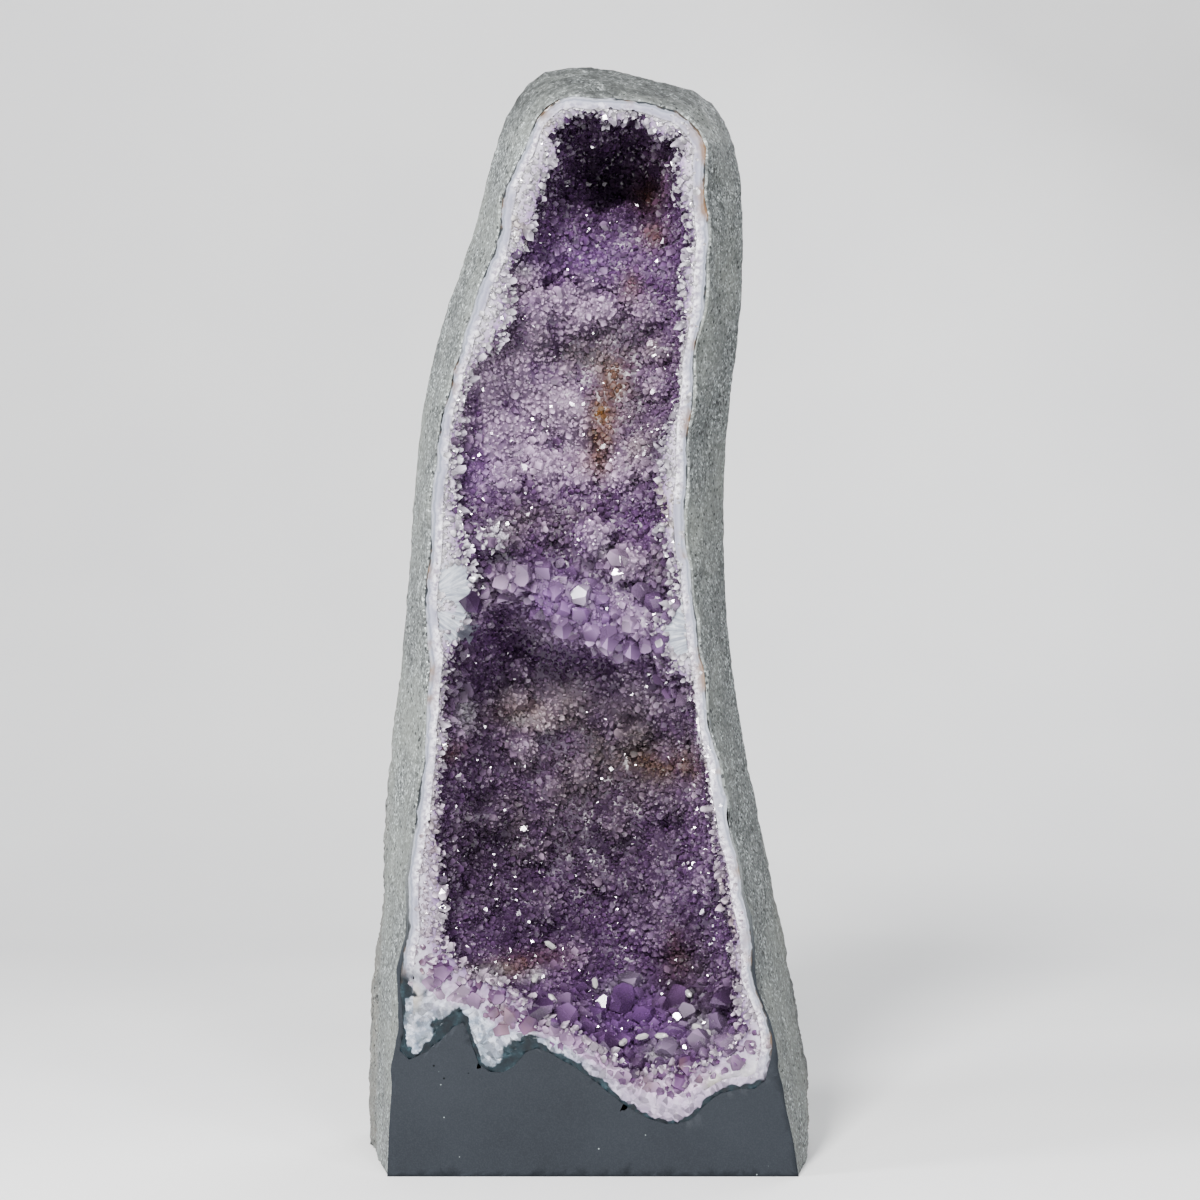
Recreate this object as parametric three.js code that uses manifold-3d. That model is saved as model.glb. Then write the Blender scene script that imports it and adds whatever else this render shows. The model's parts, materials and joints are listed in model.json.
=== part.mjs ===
// Amethyst geode: a tall "cathedral" half that stands on its sawn base.
// Millimetres, +Z up, the sawn face looks towards -Y. Three layers grew one inside the
// other: a basalt rind, a thin agate band and a thick quartz and amethyst lining.
// A dozen loose quartz grains lie on the ledge at the foot of the hollow.
import * as THREE from "three";
import { mergeVertices } from "three/addons/utils/BufferGeometryUtils.js";
import Module from "manifold-3d";

const wasm = await Module();
wasm.setup();

// ---- Driving dimensions ------------------------------------------------------------
const DEPTH = 186; // sawn face to the back of the rind
const LAYER_GAP = 0.4; // clearance between layers that touch
const BACK_GAP = 1.5; // the same at the back of the bowls, where their facets slant
const RIM_LAND = 2; // width of basalt left around the agate on the sawn face
const BAND_WIDTH = 5.5; // agate band, measured on the sawn face
const BAND_BACK = 152; // how far back the agate reaches
const LINING_BACK = 145; // how far back the quartz reaches
const FOOT_BELOW = -40; // the raw stone runs on below the base before it is sawn
const SPINE_LOW = 200; // the layers close in on an upright line between these heights
const SPINE_HIGH = 520;
const RIM_DEPTH = 8; // the layers run straight back this far before they close in
const OVERCUT = 30; // how far the cutting shapes stand out in front of the sawn face
const STONE_COLUMNS = 78; // corners around the stone
const BOWL_COLUMNS = 88; // corners around each bowl
const SPINE_SPREAD = 0.2; // a bowl's spine shrinks to a point inside this share of the way out
const HOLLOW_COLUMNS = 16; // steps across the hollow
const HOLLOW_ROWS = 68; // steps up the hollow

// Around the stone, from the middle of the foot up the right side and down the left:
// [x, z] on the sawn face and [x, z] where the stone is widest, behind the ground bevel.
const STATIONS = [
  [0, -40, 0, -40], [70, -40, 80, -40], [116, -30, 126, -32], [118, 0, 132, 0],
  [112, 35, 133, 40], [103, 80, 124, 86], [94, 120, 115, 132], [84, 180, 104, 181],
  [73, 240, 92, 236], [65, 300, 82, 300], [57, 360, 79, 365], [58, 420, 81, 422],
  [65, 480, 88, 482], [69, 540, 90, 540], [66, 580, 84, 588], [55, 597, 68, 613],
  [28, 603, 36, 623], [0, 606, 2, 630], [-20, 603, -28, 626], [-33, 590, -45, 606],
  [-42, 565, -56, 575], [-52, 530, -67, 533], [-65, 485, -84, 484], [-80, 440, -95, 438],
  [-88, 390, -101, 385], [-91, 330, -105, 330], [-90, 275, -110, 280], [-93, 225, -118, 225],
  [-101, 170, -123, 170], [-105, 120, -128, 115], [-109, 60, -133, 60], [-112, 0, -134, 0],
  [-110, -30, -126, -32], [-70, -40, -80, -40],
];
const HEIGHT = 630; // of the finished stone
const SHOULDER = 44; // depth at which the ground bevel ends at the top
const SHOULDER_FOOT = 18; // how much further back it ends at the foot
const SHOULDER_RIGHT = 10; // more again below SHOULDER_HIGH, on the right
const SHOULDER_LEFT = 38; // and on the left
const SHOULDER_HIGH = 300;
const SHOULDER_BLEND = 60; // half width over which right turns into left
const BACK_LEAN = 26; // how far the back leans forward from BACK_LEAN_FROM to the top
const BACK_LEAN_FROM = 330;
const FOOT_LINE = 65; // above this height the agate follows the edge of the sawn face

// Lower edge of the agate above the basalt panel, from right to left.
const BAND_FOOT = [
  [101, 50], [84, 48], [66, 39], [57, 30], [42, 28], [22, 38], [5, 50], [-14, 64],
  [-31, 70], [-45, 58], [-60, 60], [-71, 84], [-84, 72], [-104, 62],
];

// Mouth of the hollow on the sawn face: two sides from the ledge up, then roof and ledge
// from left to right.
const MOUTH_LEFT = [
  [-91, 129], [-82, 160], [-86, 195], [-80, 250], [-82, 285], [-66, 325], [-77, 362],
  [-75, 410], [-64, 455], [-46, 478], [-45, 510], [-30, 540], [-22, 562], [-17, 588],
];
const MOUTH_RIGHT = [
  [90, 82], [84, 120], [77, 166], [68, 225], [63, 268], [41, 303], [52, 328], [46, 360],
  [42, 405], [54, 440], [54, 490], [59, 535], [52, 560], [56, 586],
];
const MOUTH_ROOF = [[-17, 588], [0, 597], [13, 588], [27, 596], [40, 583], [56, 586]];
const MOUTH_LEDGE = [
  [-91, 129], [-69, 113], [-43, 103], [-23, 86], [5, 70], [27, 56], [46, 58], [70, 63], [90, 82],
];

// Depth of the hollow down its middle: [fraction of the way from ledge to roof, depth].
const HOLLOW_DEPTH = [
  [0, -2], [0.02, 20], [0.05, 50], [0.09, 84], [0.16, 104], [0.28, 102], [0.35, 86],
  [0.385, 60], [0.41, 18], [0.46, 14], [0.51, 24], [0.56, 34], [0.6, 46], [0.635, 27],
  [0.7, 38], [0.775, 52], [0.81, 34], [0.86, 46], [0.9, 74], [0.955, 80], [0.985, 50], [1, -2],
];
const SHELF_AT = 0.385; // the big shelf overhangs the cave below it
const SHELF_UNDERCUT = 16;
const SHELF_SPREAD = 0.03;

// Rounded lumps of crystal: [x, z, radius, how far it stands out of the wall].
const LUMPS = [
  [-46, 521, 9, 12], [-33, 509, 11, 10], [-26, 489, 14, 12], [-8, 499, 11, 9],
  [8, 496, 11, 10], [24, 489, 13, 10], [-62, 475, 12, 14], [-52, 360, 16, 16],
  [2, 362, 13, 12], [25, 340, 14, 12], [-38, 378, 11, 8], [-40, 250, 22, 10],
  [20, 180, 26, 8], [-50, 190, 24, 12], [55, 120, 20, 10], [-55, 132, 18, 9],
];

// Loose grains on the ledge: [x, distance behind the sawn face, turn about the upright axis].
const GRAINS = [
  [-22, 60, 20], [-30, 22, 75], [-20, 18, 140], [-11, 16, 35], [4, 52, 100], [31, 26, 15],
  [20, 18, 60], [42, 24, 160], [58, 46, 110], [74, 20, 40], [68, 14, 90], [62, 22, 130],
];
const GRAIN_LENGTH = 9;
const GRAIN_RADIUS = 1.9;
const GRAIN_LIFT = 1.7; // height of a grain's middle above the ledge, in its own radii
const GRAIN_DROP = 150; // the grains lie on what is straight below this height

// ---- Small helpers -----------------------------------------------------------------
const smooth = (t) => t * t * (3 - 2 * t);

// Value of a list of [key, value] pairs at a key, eased from one pair to the next.
function along(pairs, key) {
  const next = pairs.findIndex(([k]) => k >= key);
  if (next <= 0) return pairs[next < 0 ? pairs.length - 1 : 0][1];
  const [k0, v0] = pairs[next - 1];
  const [k1, v1] = pairs[next];
  return v0 + (v1 - v0) * smooth((key - k0) / (k1 - k0));
}

const curve = (points, closed) =>
  new THREE.CatmullRomCurve3(points.map(([x, z]) => new THREE.Vector3(x, 0, z)), closed, "centripetal");

// A solid from a closed geometry: vertices that share a place are merged first.
function toSolid(geometry) {
  geometry.deleteAttribute("normal");
  geometry.deleteAttribute("uv");
  const merged = mergeVertices(geometry, 1e-4);
  const index = merged.index.array;
  const kept = [];
  for (let i = 0; i < index.length; i += 3) {
    const [a, b, c] = [index[i], index[i + 1], index[i + 2]];
    if (a !== b && b !== c && c !== a) kept.push(a, b, c);
  }
  return new wasm.Manifold(new wasm.Mesh({
    numProp: 3,
    vertProperties: merged.attributes.position.array,
    triVerts: Uint32Array.from(kept),
  }));
}

function toGeometry(solid) {
  const mesh = solid.getMesh();
  const geometry = new THREE.BufferGeometry();
  geometry.setAttribute("position", new THREE.BufferAttribute(mesh.vertProperties, 3));
  geometry.setIndex(new THREE.BufferAttribute(mesh.triVerts, 1));
  geometry.computeVertexNormals();
  return geometry;
}

// A lathe whose round section is replaced: place(turn, ring) gives each vertex, where turn
// runs from 0 to 1 around the stone and ring is the row of the profile.
function warpedLathe(rows, columns, place) {
  const profile = rows.map((row, i) => new THREE.Vector2(row.reach, i));
  const geometry = new THREE.LatheGeometry(profile, columns);
  const position = geometry.attributes.position;
  for (let i = 0; i < position.count; i += 1) {
    const column = Math.floor(i / rows.length) % columns;
    const point = place((1 - column / columns) % 1, rows[i % rows.length]);
    position.setXYZ(i, point.x, point.y, point.z);
  }
  return toSolid(geometry);
}

// The point a share of the way out from a height on the upright spine to a point of an outline.
const fromSpine = (level, edge, reach) =>
  new THREE.Vector3(spineX(level), 0, level).lerp(edge, reach);
const spineLevel = (z) => THREE.MathUtils.clamp(z, SPINE_LOW, SPINE_HIGH);
const spineX = (z) => -8 + 0.03 * (z - SPINE_LOW);

// Share of the full depth that a closed bowl has reached, from its rim (1) to its middle (0).
const bowed = (reach, flat) => Math.pow(1 - Math.pow(reach, flat), 1 / 2.2);

// ---- Basalt rind: outside of the stone ---------------------------------------------
// The ground bevel ends further back near the foot, and most of all on the left.
function shoulderDepth(x, z) {
  const low = Math.max(0, 1 - z / SHOULDER_HIGH) ** 1.5;
  const left = smooth(THREE.MathUtils.clamp((SHOULDER_BLEND - x) / (2 * SHOULDER_BLEND), 0, 1));
  const more = SHOULDER_RIGHT + (SHOULDER_LEFT - SHOULDER_RIGHT) * left;
  return SHOULDER + SHOULDER_FOOT * (1 - z / HEIGHT) + low * more;
}

// Slow hummocks on the natural back of the stone.
const hummocks = (x, z) =>
  2.6 * Math.sin(x / 23 + z / 61) + 2.2 * Math.sin(z / 29 - x / 37 + 1.3) + 1.6 * Math.sin(z / 14 + 0.7);

function stoneBody() {
  const face = curve(STATIONS.map(([x, z]) => [x, z]), true);
  const waist = curve(STATIONS.map(([, , x, z]) => [x, z]), true);
  const front = [0, 0.5, 1].map((reach) => ({ reach, front: true }));
  const back = [1, 0.985, 0.95, 0.89, 0.8, 0.68, 0.54, 0.38, 0.2, 0].map((reach) => ({ reach }));
  // Opposite corners close in on one point of the spine, so the two sides meet along it.
  const level = (outline, turn) =>
    spineLevel((outline.getPoint(turn).z + outline.getPoint(1 - turn).z) / 2);
  return warpedLathe([...front, ...back], STONE_COLUMNS, (turn, row) => {
    if (row.front) return fromSpine(level(face, turn), face.getPoint(turn), row.reach);
    const edge = waist.getPoint(turn);
    const point = fromSpine(level(waist, turn), edge, row.reach);
    const shoulder = shoulderDepth(edge.x, edge.z);
    const lean = Math.max(0, (point.z - BACK_LEAN_FROM) / (HEIGHT - BACK_LEAN_FROM));
    const behind = DEPTH - 6 - BACK_LEAN * lean;
    const bow = bowed(row.reach, 2.6);
    point.y = shoulder + (behind - shoulder) * bow + hummocks(point.x, point.z) * bow;
    return point;
  });
}

// ---- Bowls that part one layer from the next ---------------------------------------
function bandOutline() {
  const face = STATIONS.filter(([, z]) => z > FOOT_LINE).map(([x, z]) => [x, z]);
  return [...face, ...BAND_FOOT.slice().reverse()];
}

// Each outline point moved inwards, so that both of its edges move by the width.
function inset(points, width) {
  return points.map(([x, z], i) => {
    const [ax, az] = points[(i + points.length - 1) % points.length];
    const [bx, bz] = points[(i + 1) % points.length];
    const before = new THREE.Vector2(az - z, x - ax).normalize();
    const after = new THREE.Vector2(z - bz, bx - x).normalize();
    const corner = before.clone().add(after).normalize();
    const reach = width / Math.max(corner.dot(after), 0.6);
    return [x + reach * corner.x, z + reach * corner.y];
  });
}

// A closed outline through the points, as evenly numbered corners.
const sampled = (points) => {
  const edge = curve(points, true);
  return Array.from({ length: BOWL_COLUMNS }, (_, i) => {
    const point = edge.getPoint(i / BOWL_COLUMNS);
    return [point.x, point.z];
  });
};

function bowl(outline, back) {
  const rim = [{ reach: 0, y: -OVERCUT }, { reach: 1, y: -OVERCUT }];
  const cup = [1, 0.96, 0.87, 0.72, 0.5, 0.22, 0].map((reach) => ({ reach }));
  const middle = (SPINE_LOW + SPINE_HIGH) / 2;
  return warpedLathe([...rim, ...cup], BOWL_COLUMNS, (turn, row) => {
    const [x, z] = outline[Math.round(turn * BOWL_COLUMNS)];
    const spread = Math.min(1, row.reach / SPINE_SPREAD);
    const level = THREE.MathUtils.lerp(middle, spineLevel(z), spread);
    const point = fromSpine(level, new THREE.Vector3(x, 0, z), row.reach);
    point.y = row.y ?? RIM_DEPTH + (back - RIM_DEPTH) * bowed(row.reach, 2.4);
    return point;
  });
}

// ---- Hollow ------------------------------------------------------------------------
// A patch stretched between the four edges of the mouth, pushed back to the hollow's depth.
function hollow() {
  const [left, right] = [curve(MOUTH_LEFT, false), curve(MOUTH_RIGHT, false)];
  const [ledge, roof] = [curve(MOUTH_LEDGE, false), curve(MOUTH_ROOF, false)];
  const patch = (u, v) => {
    const corners = new THREE.Vector3()
      .addScaledVector(left.getPoint(0), (1 - u) * (1 - v))
      .addScaledVector(right.getPoint(0), u * (1 - v))
      .addScaledVector(left.getPoint(1), (1 - u) * v)
      .addScaledVector(right.getPoint(1), u * v);
    return new THREE.Vector3()
      .addScaledVector(left.getPoint(v), 1 - u)
      .addScaledVector(right.getPoint(v), u)
      .addScaledVector(ledge.getPoint(u), 1 - v)
      .addScaledVector(roof.getPoint(u), v)
      .sub(corners);
  };
  const geometry = new THREE.BoxGeometry(1, 1, 1, HOLLOW_COLUMNS, 1, HOLLOW_ROWS);
  const position = geometry.attributes.position;
  for (let i = 0; i < position.count; i += 1) {
    const [u, v] = [position.getX(i) + 0.5, position.getZ(i) + 0.5];
    const point = patch(u, v);
    const across = Math.pow(1 - Math.pow(Math.abs(2 * u - 1), 3), 0.7);
    const bulge = LUMPS.reduce((sum, [x, z, radius, out]) =>
      sum + out * Math.exp(-((point.x - x) ** 2 + (point.z - z) ** 2) / radius ** 2), 0);
    const deep = -2 + (along(HOLLOW_DEPTH, v) + 2 - bulge) * across;
    const under = Math.exp(-(((v - SHELF_AT + 0.02) / SHELF_SPREAD) ** 2));
    point.z += SHELF_UNDERCUT * under * across;
    position.setXYZ(i, point.x, position.getY(i) < 0 ? -OVERCUT : Math.max(deep, -2), point.z);
  }
  return toSolid(geometry);
}

// ---- Loose grains --------------------------------------------------------------------
function grainGeometry() {
  const half = GRAIN_LENGTH / 2;
  const profile = [[0, -half], [GRAIN_RADIUS, -half * 0.5], [GRAIN_RADIUS, half * 0.5], [0, half]];
  const shape = new THREE.LatheGeometry(profile.map(([r, y]) => new THREE.Vector2(r, y)), 6);
  return toGeometry(toSolid(shape));
}

// ---- Assembly ------------------------------------------------------------------------
const box = (x0, x1, y0, y1, z0, z1) => {
  const geometry = new THREE.BoxGeometry(x1 - x0, y1 - y0, z1 - z0);
  geometry.translate((x0 + x1) / 2, (y0 + y1) / 2, (z0 + z1) / 2);
  return toSolid(geometry);
};

const REACH = 400;
const belowBase = box(-REACH, REACH, -REACH, REACH, FOOT_BELOW - 20, 0);
const inFront = box(-REACH, REACH, -REACH, 0, -REACH, 2 * REACH);

const bandEdge = sampled(inset(bandOutline(), RIM_LAND));
const liningEdge = sampled(inset(bandOutline(), RIM_LAND + BAND_WIDTH));

const rindSolid = stoneBody()
  .subtract(belowBase)
  .subtract(bowl(inset(bandEdge, -LAYER_GAP), BAND_BACK + BACK_GAP));
const bandSolid = bowl(bandEdge, BAND_BACK)
  .subtract(inFront)
  .subtract(bowl(inset(liningEdge, -LAYER_GAP), LINING_BACK + BACK_GAP));
const liningSolid = bowl(liningEdge, LINING_BACK)
  .subtract(inFront)
  .subtract(hollow());

const basalt = new THREE.MeshStandardMaterial({ color: 0x5d625f, roughness: 0.85, metalness: 0 });
const agate = new THREE.MeshStandardMaterial({ color: 0xb9c4d2, roughness: 0.25, metalness: 0 });
const amethyst = new THREE.MeshStandardMaterial({ color: 0x8a6cc0, roughness: 0.15, metalness: 0 });
const quartz = new THREE.MeshStandardMaterial({ color: 0xe9e4ea, roughness: 0.2, metalness: 0 });

const geode = new THREE.Group();

function layer(name, solid, material) {
  const mesh = new THREE.Mesh(toGeometry(solid), material);
  mesh.name = name;
  geode.add(mesh);
  return mesh;
}

layer("basalt_rind", rindSolid, basalt);
layer("agate_band", bandSolid, agate);
const lining = layer("amethyst_lining", liningSolid, amethyst);

// A point of the ledge straight below the air of the lower cave.
const plumb = new THREE.Raycaster();
function ledgeAt(x, y) {
  plumb.set(new THREE.Vector3(x, y, GRAIN_DROP), new THREE.Vector3(0, 0, -1));
  return plumb.intersectObject(lining)[0].point;
}

// Each grain lies along the line between two points of the ledge, clear of what is between.
GRAINS.forEach(([x, y, turnDegrees], i) => {
  const turn = THREE.MathUtils.degToRad(turnDegrees);
  const aside = new THREE.Vector2(Math.cos(turn), Math.sin(turn)).multiplyScalar(GRAIN_LENGTH / 2);
  const [head, middle, tail] = [1, 0, -1].map((k) => ledgeAt(x + k * aside.x, y + k * aside.y));
  const centre = head.clone().lerp(tail, 0.5);
  const hump = Math.max(0, middle.z - centre.z);
  const grain = new THREE.Mesh(grainGeometry(), quartz);
  grain.name = `loose_grain_${String(i + 1).padStart(2, "0")}`;
  grain.position.copy(centre);
  grain.position.z += hump + GRAIN_RADIUS * GRAIN_LIFT;
  grain.quaternion.setFromUnitVectors(new THREE.Vector3(0, 1, 0), head.sub(tail).normalize());
  geode.add(grain);
});

// The origin is at the middle of the base.
const bounds = new THREE.Box3().setFromObject(geode);
const centre = bounds.getCenter(new THREE.Vector3());
geode.position.set(-centre.x, -centre.y, 0);

export default geode;
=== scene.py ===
"""Amethyst geode: looks for the tall half stone that stands on its sawn base.

Metres, +Z up, the sawn face looks towards -Y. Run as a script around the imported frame.
"""

import json
import math

import bmesh
import bpy
import numpy as np
from bpy.props import FloatProperty, FloatVectorProperty, IntProperty
from mathutils import Matrix, Vector, noise
from mathutils.bvhtree import BVHTree
from mathutils.kdtree import KDTree

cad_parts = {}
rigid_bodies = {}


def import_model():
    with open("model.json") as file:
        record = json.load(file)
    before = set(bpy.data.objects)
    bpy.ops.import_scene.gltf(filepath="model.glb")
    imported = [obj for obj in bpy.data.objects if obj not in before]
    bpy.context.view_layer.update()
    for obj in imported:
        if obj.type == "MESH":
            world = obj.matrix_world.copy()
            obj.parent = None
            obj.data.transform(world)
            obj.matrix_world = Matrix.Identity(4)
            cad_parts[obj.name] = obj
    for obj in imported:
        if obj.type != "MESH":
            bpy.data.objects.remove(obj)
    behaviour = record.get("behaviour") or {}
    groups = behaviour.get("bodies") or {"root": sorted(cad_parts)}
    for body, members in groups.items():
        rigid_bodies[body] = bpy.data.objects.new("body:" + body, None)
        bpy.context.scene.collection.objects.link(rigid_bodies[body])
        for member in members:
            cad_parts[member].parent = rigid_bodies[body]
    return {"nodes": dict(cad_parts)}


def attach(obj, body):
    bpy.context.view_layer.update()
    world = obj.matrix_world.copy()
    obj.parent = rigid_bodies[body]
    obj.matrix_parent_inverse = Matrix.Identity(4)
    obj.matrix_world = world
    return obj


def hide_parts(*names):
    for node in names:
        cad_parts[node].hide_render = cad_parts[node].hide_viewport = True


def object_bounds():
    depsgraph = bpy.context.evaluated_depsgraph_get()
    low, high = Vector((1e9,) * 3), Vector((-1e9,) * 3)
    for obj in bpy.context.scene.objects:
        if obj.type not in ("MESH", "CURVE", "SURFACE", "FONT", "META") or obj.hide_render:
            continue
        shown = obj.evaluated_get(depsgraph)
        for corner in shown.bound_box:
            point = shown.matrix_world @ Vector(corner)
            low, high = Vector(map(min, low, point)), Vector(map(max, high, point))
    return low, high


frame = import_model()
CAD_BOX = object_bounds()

bl_info = {
    "name": "Amethyst Geode",
    "version": (1, 0, 0),
    "blender": (4, 5, 0),
    "location": "View3D > Sidebar > Geode",
    "description": "Builds a tall amethyst geode around its packed frame",
    "category": "Add Mesh",
}

MM = 0.001
LOW, HIGH = CAD_BOX
FACE_Y = LOW.y  # the plane of the sawn face
SAWN = 0.02 * MM  # how close to a sawn plane a point counts as on it
EDGE_STEP = 2.1 * MM  # how finely the layers' edges on the sawn face are drawn
SAWN_TOP = LOW.z + 0.19  # the sawn face shows as dark stone below this height
BODY = "root"
NOISE_SEED = 7  # without it, noise_vector starts from the clock
PANEL_TOP = LOW.z + 0.066  # height of the sawn panel's upper edge in the stone's middle
PANEL_FALL = 0.28  # how fast that edge falls towards the right
UP_FRONT = 0.3 * MM  # how deep behind the sawn face a vertex of the band still counts as on it


# ---- Settings a user would change ----


def length(name, description, default):
    return FloatProperty(name=name, description=description, default=default, unit="LENGTH")


def colour_of(name, description, default):
    return FloatVectorProperty(name=name, description=description, default=default, subtype="COLOR")


class GeodeRock(bpy.types.PropertyGroup):
    """The grey rock outside."""

    grain: length("Grain", "Roughness of the ground bevel", 0.6 * MM)
    hummock: length("Hummocks", "Depth of the raw back's hollows", 5 * MM)
    step: length("Step", "Longest edge of the rock's mesh", 6.6 * MM)
    ground: colour_of("Ground rock", "Colour of the bevel", (0.150, 0.162, 0.162))
    panel: colour_of("Sawn rock", "Colour of the panel under the hollow", (0.0225, 0.0255, 0.0305))


class GeodeQuartz(bpy.types.PropertyGroup):
    """Agate band and quartz rim."""

    ripple: length("Ripple", "Waviness of the layer edges", 3.0 * MM)
    step: length("Step", "Longest edge of the bed's mesh", 3.1 * MM)
    lump: length("Lumps", "Height of the bed's rounded lumps", 4.5 * MM)
    ior: FloatProperty(name="IOR", description="Refraction of quartz", default=1.544)


class GeodeDruse(bpy.types.PropertyGroup):
    """Crystal points."""

    tilt: FloatProperty(
        name="Tilt", description="Most that a point leans", default=math.radians(32), subtype="ANGLE",
    )
    deep: colour_of("Deep", "Deep amethyst", (0.20, 0.105, 0.245))
    pale: colour_of("Pale", "Pale amethyst", (0.76, 0.57, 0.80))
    vivid: colour_of("Vivid", "Bright violet crystals", (0.38, 0.19, 0.52))
    smoky: colour_of("Smoky", "Greyish brown crystals", (0.31, 0.25, 0.275))
    rust: colour_of("Rust", "Iron stain", (0.25, 0.125, 0.05))
    white: colour_of("White", "Milky rim quartz", (0.92, 0.89, 0.94))
    tint: colour_of("Tint", "Colour inside the crystal", (0.70, 0.48, 0.80))
    tint_density: FloatProperty(
        name="Tint density", description="Strength of the colour inside, per metre", default=60.0,
    )
    seed: IntProperty(name="Seed", description="Seed of the scatter", default=7)


# ---- Helpers ----


def smoothstep(low, high, value):
    t = min(max((value - low) / (high - low), 0.0), 1.0)
    return t * t * (3 - 2 * t)


def merged_copy(node):
    """The CAD node's mesh with its loose triangles joined up, as a bmesh."""
    bm = bmesh.new()
    bm.from_mesh(frame["nodes"][node].data)
    bmesh.ops.remove_doubles(bm, verts=bm.verts, dist=0.01 * MM)
    bm.normal_update()
    return bm


def tree_of(node):
    bm = merged_copy(node)
    tree = BVHTree.FromBMesh(bm)
    bm.free()
    return tree


def refine(bm, longest, wanted, rounds=9):
    """Splits edges until every wanted one is shorter than the limit."""
    for _ in range(rounds):
        edges = [e for e in bm.edges if e.calc_length() > longest and wanted(e)]
        if not edges:
            return
        bmesh.ops.subdivide_edges(bm, edges=edges, cuts=1)
        many = [f for f in bm.faces if len(f.verts) > 3]
        bmesh.ops.triangulate(bm, faces=many, quad_method="SHORT_EDGE", ngon_method="BEAUTY")


def in_face(f):
    return all(on_face(v.co) for v in f.verts)


def panel_edge(e):
    return on_face(e.verts[0].co) and on_face(e.verts[1].co)


def even_out(bm):
    """Turns long thin triangles of the sawn face into even ones."""
    flat = [f for f in bm.faces if in_face(f)]
    inner = [e for e in bm.edges if len(e.link_faces) == 2 and all(in_face(f) for f in e.link_faces)]
    bmesh.ops.beautify_fill(bm, faces=flat, edges=inner, use_restrict_tag=False, method="ANGLE")


def amid_face(bm):
    """The vertices of the sawn face that aren't on an outline."""
    return [v for v in bm.verts if all(in_face(f) for f in v.link_faces)]


def relax(bm, verts, rounds, use_y):
    """Moves each vertex towards the middle of its neighbours, a few times over."""
    axes = {"use_axis_x": True, "use_axis_y": use_y, "use_axis_z": True}
    for _ in range(rounds):
        bmesh.ops.smooth_vert(bm, verts=verts, factor=0.5, **axes)


def settle(bm, inner):
    """Relaxes the inner vertices of the sawn face, so that no triangle stays folded over."""
    relax(bm, inner, 14, False)


def make_piece(name, mesh, materials, replaced=()):
    """An object at the origin for a finished mesh, tied to the frame."""
    mesh.name = name
    piece = bpy.data.objects.new(name, mesh)
    bpy.context.scene.collection.objects.link(piece)
    for material in materials:
        mesh.materials.append(material)
    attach(piece, BODY)
    if replaced:
        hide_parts(*replaced)
    return piece


def write_attribute(mesh, name, values, domain="POINT"):
    layer = mesh.attributes.new(name, "FLOAT", domain)
    layer.data.foreach_set("value", np.asarray(values, np.float32))


def mesh_of(bm, name, smooth=True, **attributes):
    """Turns a bmesh into a mesh, with lists of values as attributes of its vertices."""
    mesh = bpy.data.meshes.new(name)
    bm.to_mesh(mesh)
    bm.free()
    mesh.polygons.foreach_set("use_smooth", [smooth] * len(mesh.polygons))
    for key, values in attributes.items():
        write_attribute(mesh, key, values)
    return mesh


def read_attribute(mesh, name):
    values = np.empty(len(mesh.vertices), np.float32)
    mesh.attributes[name].data.foreach_get("value", values)
    return values


def positions(mesh):
    points = np.empty(len(mesh.vertices) * 3, np.float32)
    mesh.vertices.foreach_get("co", points)
    return points.reshape(-1, 3)


def on_face(point):
    return point.y < FACE_Y + SAWN


def on_base(point):
    return point.z < LOW.z + SAWN


def ripple(point, amount):
    """Sideways drift of the layer edges near the sawn face, the same for every layer."""
    near = 1 - smoothstep(0.004, 0.04, point.y - FACE_Y)
    lift = smoothstep(0.02, 0.04, point.z)
    if near * lift == 0:
        return Vector((0, 0, 0))
    slow = noise.noise_vector(point * 34)
    quick = noise.noise_vector(point * 95 + Vector((3, 1, 7)))
    fine = noise.noise_vector(point * 270 + Vector((1, 8, 2)))
    drift = (slow * 1.0 + quick * 0.42 + fine * 0.13) * amount * near * lift
    return Vector((drift.x, 0, drift.z))


# ---- Materials ----


class Nodes:
    """A node tree, with a short call for a node whose sockets are linked or set to plain values."""

    def __init__(self, tree):
        self.tree = tree

    def node(self, kind, sockets=(), **settings):
        node = self.tree.nodes.new(kind)
        for key, value in settings.items():
            setattr(node, key, value)
        self.fill(node, sockets)
        return node

    def fill(self, node, sockets):
        for key, value in dict(sockets).items():
            if hasattr(value, "is_output"):
                self.tree.links.new(value, node.inputs[key])
            else:
                node.inputs[key].default_value = value


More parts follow.
